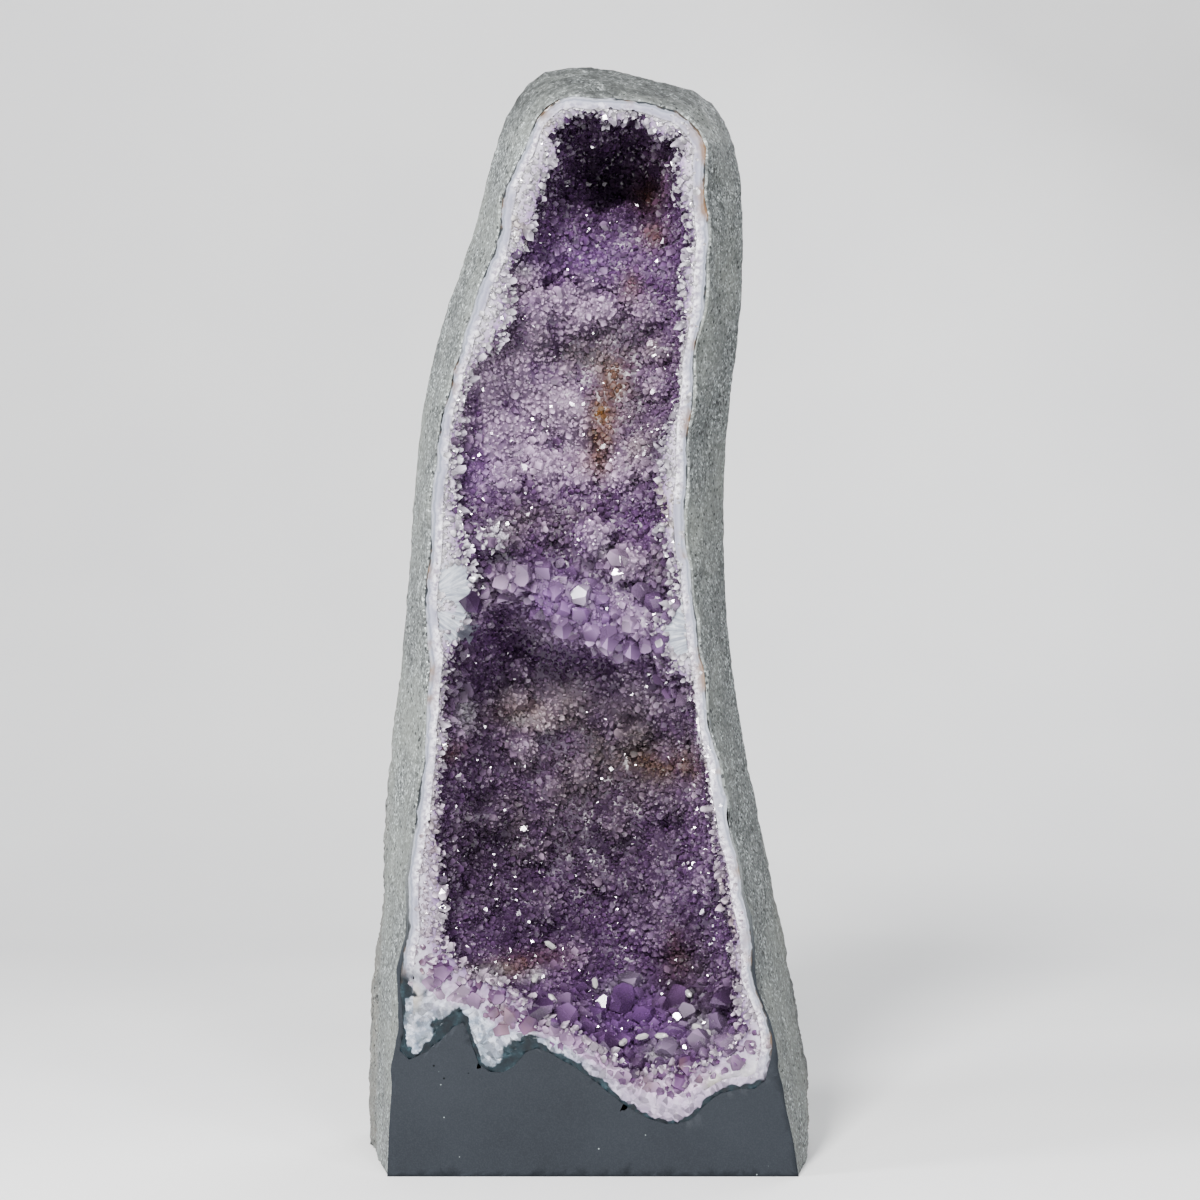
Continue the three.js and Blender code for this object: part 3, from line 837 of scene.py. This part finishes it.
def mass_height(point):
    """Height of the tallest rounded mass over a point of the wall, and how near its crown it is."""
    best, crown = 0.0, 0.0
    for x, z, radius, height in MASSES:
        off = ((point.x / MM - x) ** 2 + (point.z / MM - z) ** 2) / radius ** 2
        if off < 1:
            dome = math.sqrt(1 - off)
            best = max(best, 1.5 * height * MM * dome)
            crown = max(crown, dome)
    return best, crown


def bed_lumps(point):
    """Rounded growths of three sizes, from about 0 in the clefts to about 1 on the crowns."""
    patchy = smoothstep(-0.15, 0.25, noise.noise(point * 13 + Vector((4, 0, 2))))
    big = botryoidal(point, 0.024) * patchy
    middle = botryoidal(point + Vector((0.1, 0.2, 0)), 0.0125)
    small = botryoidal(point + Vector((0.3, 0.1, 0.2)), 0.0065)
    return 0.55 * big + 0.32 * middle + 0.13 * small


def jagged(point, amount):
    """Sideways drift of the brink of the hollow."""
    drift = noise.noise_vector(point * 80) * 3.2 + noise.noise_vector(point * 190) * 2.0
    return Vector((drift.x, 0, drift.z)) * MM * amount


class GEODE_OT_bed(bpy.types.Operator):
    """Quartz rim and the lumpy bed that the points grow on"""

    bl_idname = "geode.bed"
    bl_label = "Quartz rim and bed"

    def execute(self, context):
        quartz = context.scene.geode_quartz
        druse = context.scene.geode_druse
        bm = bed_bmesh(quartz)
        inside, share, mouth = (bm.verts.layers.float[n] for n in ("inside", "share", "mouth"))
        crown = bm.verts.layers.float.new("crown")
        band = tree_of("agate_band")
        wall = [v for v in bm.verts if v[inside]]
        relax(bm, wall, 5, True)
        bm.normal_update()
        inner = amid_face(bm)
        moves = []
        for v in bm.verts:
            shift = ripple(v.co, quartz.ripple)
            back = v.co.y - FACE_Y
            if v[inside]:
                lumps = bed_lumps(v.co)
                mass, near_crown = mass_height(v.co)
                v[crown] = max(lumps, near_crown * 0.9)
                rise = quartz.lump * (2.2 * lumps - 0.9) * smoothstep(0.0, 0.012, back)
                rise = max(rise, -0.4 * band.find_nearest(v.co)[3])
                towards = (v.normal + Vector((0, -1, 0))).normalized()
                shift = shift + v.normal * rise + towards * mass * smoothstep(0.002, 0.014, back)
                shift = shift + jagged(v.co, 1 - smoothstep(0.0, 0.018, back))
            elif on_face(v.co):
                grit = 0.5 + 0.5 * noise.noise(v.co * 240)
                rough = smoothstep(0.12, 0.35, v[share] - 0.35 * foot_share(v.co))
                sunk = 1.6 * smoothstep(0.5, 1.0, v[share]) + (0.7 + 0.9 * grit) * rough
                shift = shift + Vector((0, (0.25 + sunk) * MM, 0))
                shift = shift + jagged(v.co, smoothstep(0.4, 1.0, v[share]))
            moves.append(shift)
        for v, shift in zip(bm.verts, moves):
            v.co += shift
            v.co.y = max(v.co.y, FACE_Y)
        settle(bm, inner)
        bm.normal_update()
        for name, patches in PLACES.items():
            layer = bm.verts.layers.float.new(name)
            for v in bm.verts:
                blotch = noise.fractal(v.co * 55 + Vector((len(patches), 0, 0)), 0.9, 2.0, 4)
                value = patch_sum(v.co, patches) * (1 + 0.8 * blotch)
                if name == "pale":
                    # Painted light and shade on the lumps: paler on their crowns, darker in the clefts
                    # between them.
                    value += 0.07 * blotch + 0.75 * (v[crown] - 0.48)
                if name == "dark":
                    # Painted shade just inside the mouth of the hollow, above the ledge.
                    behind_rim = 1 - smoothstep(6, 20, v[mouth])
                    value += 0.6 * behind_rim * smoothstep(0.08, 0.11, v.co.z)
                v[layer] = min(max(value, 0.0), 1.0)
        mesh = mesh_of(bm, "quartz_bed")
        make_piece("quartz_bed", mesh, (bed_stone(quartz, druse),), ("amethyst_lining",))
        return {"FINISHED"}


# ---- Crystal points ----

QUARTZ_SLOPE = math.radians(51.8)  # between the long axis and the normal of a point's end faces
ROOT = 0.7  # how deep a crystal is sunk into the bed, in radii


def quartz_point(name, unevenness, shaft, seed):
    """One six-sided crystal, a unit in radius: a prism whose end is cut by six sloping planes."""
    bm = bmesh.new()
    height = shaft + 1.5
    bmesh.ops.create_cone(
        bm, cap_ends=True, cap_tris=False, segments=6, radius1=1.0, radius2=1.0,
        depth=height, matrix=Matrix.Translation((0, 0, height / 2 - ROOT)),
    )
    tip = Vector((0, 0, height - 0.8))
    for side in range(6):
        turn = math.radians(30 + 60 * side)
        out = math.sin(QUARTZ_SLOPE)
        normal = Vector((math.cos(turn) * out, math.sin(turn) * out, math.cos(QUARTZ_SLOPE)))
        step = unevenness * noise.cell(Vector((seed * 3.7, side * 1.9, 0.5)))
        plane = tip - normal * step * (1.0 if side % 2 else 0.25)
        cut = bmesh.ops.bisect_plane(
            bm, geom=bm.verts[:] + bm.edges[:] + bm.faces[:], dist=1e-5,
            plane_co=plane, plane_no=normal, clear_outer=True,
        )
        rim = [g for g in cut["geom_cut"] if isinstance(g, bmesh.types.BMEdge)]
        if rim:
            bmesh.ops.contextual_create(bm, geom=rim)
    bmesh.ops.remove_doubles(bm, verts=bm.verts, dist=1e-4)
    bmesh.ops.recalc_face_normals(bm, faces=bm.faces)
    # up runs from root to tip and carries the painted shade at the root; facet is a random tone painted on
    # each face as light and shade.
    mesh = mesh_of(bm, name, smooth=False, up=[(v.co.z + ROOT) / height for v in bm.verts])
    facet = [abs(noise.cell(Vector((seed * 5.1, i * 2.3, 0.5)))) for i in range(len(mesh.polygons))]
    write_attribute(mesh, "facet", facet, "FACE")
    return bpy.data.objects.new(name, mesh)


# Where the points grow: name, lowest and highest z and least and most depth behind the face
# in mm, then the layers of points as (spacing, smallest, largest radius) in mm.
ALL = 300  # deeper than the hollow
LARGE = 5  # zones with crystals of a larger radius than this are clearer
DRUSE = (
    ("points_roof", 515, 640, 0, ALL, ((8.5, 2.2, 3.2), (3.3, 1.3, 2.3), (2.0, 0.8, 1.4))),
    ("points_slope", 410, 515, 0, ALL, ((8.5, 2.0, 3.0), (3.1, 1.2, 2.1), (2.0, 0.8, 1.4))),
    ("points_bulge", 345, 410, 0, ALL, ((8.0, 2.4, 3.6), (3.3, 1.3, 2.4), (2.0, 0.8, 1.4))),
    ("points_shelf", 262, 345, 0, 46, ((9, 4.2, 7.0), (4.8, 2.2, 3.8), (2.4, 1.0, 1.8))),
    ("points_recess", 262, 345, 46, ALL, ((3.4, 1.3, 2.4), (2.1, 0.9, 1.5))),
    ("points_wall", 170, 262, 0, ALL, ((8.5, 2.2, 3.2), (3.3, 1.2, 2.3), (2.0, 0.8, 1.4))),
    ("points_low", 100, 170, 0, ALL, ((8.5, 2.2, 3.2), (3.3, 1.2, 2.3), (2.0, 0.8, 1.4))),
    ("points_ledge", 0, 100, 0, ALL, ((13, 5.5, 8.5), (6.0, 2.6, 4.4), (2.6, 1.1, 1.9))),
)
# The layers of the crystals along the rim, in the same measures.
EDGES = {
    "points_rim": ((3.4, 1.2, 2.3), (2.0, 0.7, 1.2)),
    "points_brink": ((4.4, 1.9, 3.0), (2.6, 1.0, 1.7)),
    "points_crest": ((7.5, 4.0, 6.2), (3.6, 1.6, 2.8)),
    "points_band": ((3.0, 1.1, 2.0), (1.9, 0.7, 1.1)),
}


def druse_mask(bed, low, high, near, far):
    """1 where a zone's points may grow; the zones part the whole wall between them."""
    z = bed["place"][:, 2] / MM
    back = (bed["place"][:, 1] - FACE_Y) / MM
    here = (bed["inside"] > 0.5) & (z >= low) & (z < high) & (back >= near) & (back < far)
    return (here & (bed["fan"] < 0.72)).astype(np.float32)


def over_panel(bed):
    """1 close above the line where the panel meets the quartz, 0 higher up."""
    height = bed["place"][:, 2] - (PANEL_TOP - PANEL_FALL * bed["place"][:, 0])
    return np.clip((0.046 - height) / 0.012, 0, 1)


def rim_mask(bed):
    """More and more crystals from the middle of the rim to the brink of the hollow."""
    back = (bed["place"][:, 1] - FACE_Y) / MM
    face = np.clip((bed["share"] - 0.02 - 0.8 * bed["foot"]) / 0.15, 0, 1)
    face = face * (bed["inside"] < 0.5) * (back < 4)
    face = face * (1 - 0.9 * over_panel(bed))
    brink = (bed["inside"] > 0.5) * np.clip((7 - bed["mouth"]) / 3, 0, 1)
    return (np.maximum(face, brink) * (bed["fan"] < 0.6)).astype(np.float32)


def brink_mask(bed):
    """The first few millimetres of the hollow's wall, where the largest rim crystals stand."""
    return ((bed["inside"] > 0.5) * np.clip((8 - bed["mouth"]) / 3, 0, 1)).astype(np.float32)


def crest_mask(bed):
    """The inner half of the sawn quartz over the panel, where large crystals were cut through."""
    on_sawn = (bed["inside"] < 0.5) & (bed["place"][:, 1] < FACE_Y + 4 * MM)
    return (np.clip((bed["share"] - 0.35) / 0.15, 0, 1) * over_panel(bed) * on_sawn).astype(np.float32)


def band_mask(mesh):
    """The inner part of the agate's face: most of it on the right, less on the left."""
    place = positions(mesh)
    start = np.where(place[:, 0] > 0, 1.6, 3.6)
    inner = np.clip((read_attribute(mesh, "from_rock") - start) / 1.2, 0, 1)
    in_front = place[:, 1] < FACE_Y + UP_FRONT
    return (inner * in_front * (1 - read_attribute(mesh, "foot"))).astype(np.float32)


def scatter_tree(name, variants, layers, tilt, seed, stretch):
    """Geometry nodes that stand crystals on a bed, in one layer for each spacing."""
    tree = bpy.data.node_groups.new(name, "GeometryNodeTree")
    for direction in ("INPUT", "OUTPUT"):
        tree.interface.new_socket("Geometry", in_out=direction, socket_type="NodeSocketGeometry")
    node = Nodes(tree).node
    bed = node("NodeGroupInput").outputs[0]
    sockets = {"Collection": variants, "Separate Children": True, "Reset Children": True}
    shapes = node("GeometryNodeCollectionInfo", sockets).outputs[0]
    here = node("GeometryNodeInputNamedAttribute", {"Name": "here"}, data_type="FLOAT").outputs["Attribute"]
    join = node("GeometryNodeJoinGeometry")
    for i, (spacing, small, large) in enumerate(layers):
        gap = spacing * MM

        def draw(kind, bounds, stream):
            sockets = {**bounds, "Seed": seed + stream + i}
            return node("FunctionNodeRandomValue", sockets, data_type=kind)

        sockets = {"Mesh": bed, "Distance Min": gap, "Density Max": 1.6 / gap ** 2}
        sockets.update({"Density Factor": here, "Seed": seed + i})
        points = node("GeometryNodeDistributePointsOnFaces", sockets, distribute_method="POISSON")
        lean = draw("FLOAT_VECTOR", {0: (-tilt, -tilt, 0), 1: (tilt, tilt, math.tau)}, 10)
        sockets = {0: points.outputs["Rotation"], 1: lean.outputs[0]}
        turn = node("FunctionNodeRotateRotation", sockets, rotation_space="LOCAL")
        size = draw("FLOAT", {2: small * MM, 3: large * MM}, 20)
        pick = draw("INT", {4: 0, 5: len(variants.objects) - 1}, 30)
        sockets = {"Points": points.outputs["Points"], "Instance": shapes, "Pick Instance": True}
        sockets.update({"Instance Index": pick.outputs[2], "Rotation": turn.outputs[0]})
        sockets["Scale"] = size.outputs[1]
        stand = node("GeometryNodeInstanceOnPoints", sockets)
        sockets = {"Instances": stand.outputs[0], "Scale": (1, 1, stretch)}
        longer = node("GeometryNodeScaleInstances", sockets)
        sockets = {"Geometry": longer.outputs[0], "Name": "shade"}
        sockets["Value"] = draw("FLOAT", {}, 40).outputs[1]
        keep = node("GeometryNodeStoreNamedAttribute", sockets, data_type="FLOAT", domain="INSTANCE")
        real = node("GeometryNodeRealizeInstances", {0: keep.outputs[0]})
        tree.links.new(real.outputs[0], join.inputs[0])
    node("NodeGroupOutput", {0: join.outputs[0]})
    return tree


def grow(name, bed, mask, material, variants, layers, tilt, seed, stretch=1.0):
    """A piece of crystals where a mask lets them grow on the bed, sawn flush with the face."""
    mesh = bed.copy()
    write_attribute(mesh, "here", mask)
    holder = bpy.data.objects.new(name + "_holder", mesh)
    bpy.context.scene.collection.objects.link(holder)
    tree = scatter_tree(name, variants, layers, tilt, seed, stretch)
    holder.modifiers.new("Grow", "NODES").node_group = tree
    evaluated = holder.evaluated_get(bpy.context.evaluated_depsgraph_get())
    grown = bpy.data.meshes.new_from_object(evaluated)
    bpy.data.objects.remove(holder)
    bpy.data.node_groups.remove(tree)
    grown.materials.clear()
    saw_flush(grown)
    make_piece(name, grown, (material,))


def saw_flush(mesh):
    """Flattens what would stand in front of the sawn face, as the saw left it."""
    points = positions(mesh)
    shade = read_attribute(mesh, "shade")
    points[:, 1] = np.maximum(points[:, 1], FACE_Y + (0.1 + 0.7 * shade) * MM)
    mesh.vertices.foreach_set("co", points.ravel())
    mesh.update()


class GEODE_OT_points(bpy.types.Operator):
    """Amethyst points all over the bed of the hollow, and the crystals of the rim"""

    bl_idname = "geode.points"
    bl_label = "Amethyst points"

    def execute(self, context):
        quartz = context.scene.geode_quartz
        druse = context.scene.geode_druse
        dense = amethyst("amethyst_dense", quartz, druse, 0.3)
        clear = amethyst("amethyst_clear", quartz, druse, 0.5)
        rim = rim_crystal(quartz, druse)
        lined = bpy.data.objects["quartz_bed"].data
        band = bpy.data.objects["band"].data
        bed = {name: read_attribute(lined, name) for name in ("inside", "share", "foot", "fan", "mouth")}
        bed["place"] = positions(lined)
        variants = bpy.data.collections.new("point_shapes")
        context.scene.collection.children.link(variants)
        for i in range(6):
            variants.objects.link(quartz_point(f"point_shape_{i}", 0.5, 0.3 + 0.16 * i, i + 1))
        for i, (name, low, high, near, far, layers) in enumerate(DRUSE):
            mask = druse_mask(bed, low, high, near, far)
            material = clear if layers[0][2] > LARGE else dense
            grow(name, lined, mask, material, variants, layers, druse.tilt, druse.seed + 100 * i)
        for name, ground, mask, material, lean, stream, stretch in (
            ("points_rim", lined, rim_mask(bed), rim, 2, 1000, 1.0),
            ("points_brink", lined, brink_mask(bed), rim, 1, 1100, 1.5),
            ("points_crest", lined, crest_mask(bed), cut_crystal(), 2, 1300, 1.0),
            ("points_band", band, band_mask(band), rim, 2, 1200, 1.0),
        ):
            tilt = lean * druse.tilt
            grow(name, ground, mask, material, variants, EDGES[name], tilt, druse.seed + stream, stretch)
        for shape in list(variants.objects):
            bpy.data.objects.remove(shape)
        bpy.data.collections.remove(variants)
        return {"FINISHED"}


# ---- Loose grains ----


class GEODE_OT_grains(bpy.types.Operator):
    """Loose quartz grains on the ledge"""

    bl_idname = "geode.grains"
    bl_label = "Loose grains"

    def execute(self, context):
        material = milky_grain(context.scene.geode_quartz)
        for name in sorted(n for n in frame["nodes"] if n.startswith("loose_grain")):
            bm = merged_copy(name)
            bmesh.ops.bevel(
                bm, geom=bm.edges[:], offset=0.2 * MM, segments=1, profile=0.5,
                affect="EDGES", material=-1, clamp_overlap=True,
            )
            grain = name.replace("loose", "quartz")
            make_piece(grain, mesh_of(bm, grain, smooth=False), (material,), (name,))
        return {"FINISHED"}


# ---- Stage ----


# Name, place, width and height, power in watts, and colour; all of them look at the stone's middle.
LIGHTS = (
    ("key", (-0.55, -1.85, 1.65), (0.4, 0.4), 82, (1.0, 0.99, 0.97)),
    ("side", (-1.9, -0.85, 0.95), (0.6, 0.9), 37, (0.98, 0.99, 1.0)),
    ("fill", (1.3, -1.9, 0.75), (0.3, 0.4), 18, (0.97, 0.98, 1.0)),
    ("top", (0.4, -1.3, 1.9), (0.3, 0.3), 7, (1.0, 1.0, 1.0)),
    ("glint_left", (-1.1, -2.0, 0.7), (0.22, 0.22), 9, (1.0, 1.0, 1.0)),
    ("glint_low", (0.2, -2.3, 0.1), (0.18, 0.18), 5, (1.0, 1.0, 1.0)),
    ("glint_high", (-0.1, -1.4, 2.0), (0.18, 0.18), 5, (1.0, 1.0, 1.0)),
    ("glint_right", (0.7, -2.2, 1.3), (0.22, 0.22), 9, (1.0, 1.0, 1.0)),
    ("back", (0.9, 1.4, 1.6), (1.0, 0.8), 16, (0.96, 0.98, 1.0)),
)
FLOOR_HALF = 3.0  # half the floor's width; its far edge bends up into a wall
LENS = 80.4  # focal length on a 36 mm sensor


def area_light(name, place, size, power, colour):
    data = bpy.data.lights.new(name, "AREA")
    data.shape = "RECTANGLE"
    data.size, data.size_y = size
    data.energy = power
    data.color = colour
    light = bpy.data.objects.new(name, data)
    light.location = place
    towards = (LOW + HIGH) / 2 - Vector(place)
    light.rotation_euler = towards.to_track_quat("-Z", "Y").to_euler()
    bpy.context.scene.collection.objects.link(light)


class GEODE_OT_stage(bpy.types.Operator):
    """Pale floor, soft studio light and camera"""

    bl_idname = "geode.stage"
    bl_label = "Stage"

    def execute(self, context):
        bm = bmesh.new()
        bmesh.ops.create_grid(bm, x_segments=1, y_segments=1, size=FLOOR_HALF)
        far = lambda v: v.co.y > FLOOR_HALF - 0.1
        edge = [e for e in bm.edges if all(far(v) for v in e.verts)]
        up = bmesh.ops.extrude_edge_only(bm, edges=edge)["geom"]
        raised = [g for g in up if isinstance(g, bmesh.types.BMVert)]
        bmesh.ops.translate(bm, vec=(0, 0, FLOOR_HALF), verts=raised)
        bend = [e for e in bm.edges if all(far(v) and v.co.z < 0.1 for v in e.verts)]
        bmesh.ops.bevel(
            bm, geom=bend, offset=1.2, segments=12, profile=0.5, affect="EDGES", material=-1,
        )
        bmesh.ops.translate(bm, vec=(0, -0.9, LOW.z - 0.2 * MM), verts=bm.verts)
        mesh = mesh_of(bm, "floor")
        floor = bpy.data.objects.new("floor", mesh)
        context.scene.collection.objects.link(floor)
        s = Shader("pale_floor")
        tone = s.mix(s.fade(s.noise(3, 2), 0.3, 0.7), (0.80, 0.80, 0.80), (0.76, 0.76, 0.77))
        mesh.materials.append(s.finish(Base_Color=tone, Roughness=0.7))
        for light in LIGHTS:
            area_light(*light)
        world = bpy.data.worlds.new("studio")
        world.use_nodes = True
        sky = world.node_tree.nodes["Background"].inputs
        sky["Color"].default_value = (0.55, 0.57, 0.60, 1)
        sky["Strength"].default_value = 0.16
        context.scene.world = world
        lens = bpy.data.cameras.new("camera")
        lens.lens = LENS
        lens.sensor_width = 36
        camera = bpy.data.objects.new("camera", lens)
        camera.location = (0.0076, FACE_Y - 1.5, 0.3226)
        camera.rotation_euler = (math.radians(90), 0, 0)
        context.scene.collection.objects.link(camera)
        context.scene.camera = camera
        context.scene.view_settings.look = "AgX - Medium High Contrast"
        return {"FINISHED"}


# ---- Panel and registration ----

OPERATORS = (GEODE_OT_rind, GEODE_OT_band, GEODE_OT_bed, GEODE_OT_points, GEODE_OT_grains, GEODE_OT_stage)
GROUPS = (GeodeRock, GeodeQuartz, GeodeDruse)


class GEODE_PT_panel(bpy.types.Panel):
    """The geode's pieces, in the order they are built"""

    bl_idname = "GEODE_PT_panel"
    bl_label = "Amethyst Geode"
    bl_space_type = "VIEW_3D"
    bl_region_type = "UI"
    bl_category = "Geode"

    def draw(self, context):
        for group in ("geode_rock", "geode_quartz", "geode_druse"):
            settings = getattr(context.scene, group)
            for key in settings.__annotations__:
                self.layout.prop(settings, key)
        for operator in OPERATORS:
            self.layout.operator(operator.bl_idname)


def register():
    for cls in (*GROUPS, *OPERATORS, GEODE_PT_panel):
        bpy.utils.register_class(cls)
    bpy.types.Scene.geode_rock = bpy.props.PointerProperty(type=GeodeRock)
    bpy.types.Scene.geode_quartz = bpy.props.PointerProperty(type=GeodeQuartz)
    bpy.types.Scene.geode_druse = bpy.props.PointerProperty(type=GeodeDruse)


def unregister():
    for name in ("geode_rock", "geode_quartz", "geode_druse"):
        delattr(bpy.types.Scene, name)
    for cls in reversed((*GROUPS, *OPERATORS, GEODE_PT_panel)):
        bpy.utils.unregister_class(cls)


def main():
    register()
    noise.seed_set(NOISE_SEED)
    bpy.ops.geode.rind()
    bpy.ops.geode.band()
    bpy.ops.geode.bed()
    bpy.ops.geode.points()
    bpy.ops.geode.grains()
    bpy.ops.geode.stage()


if __name__ == "__main__":
    main()
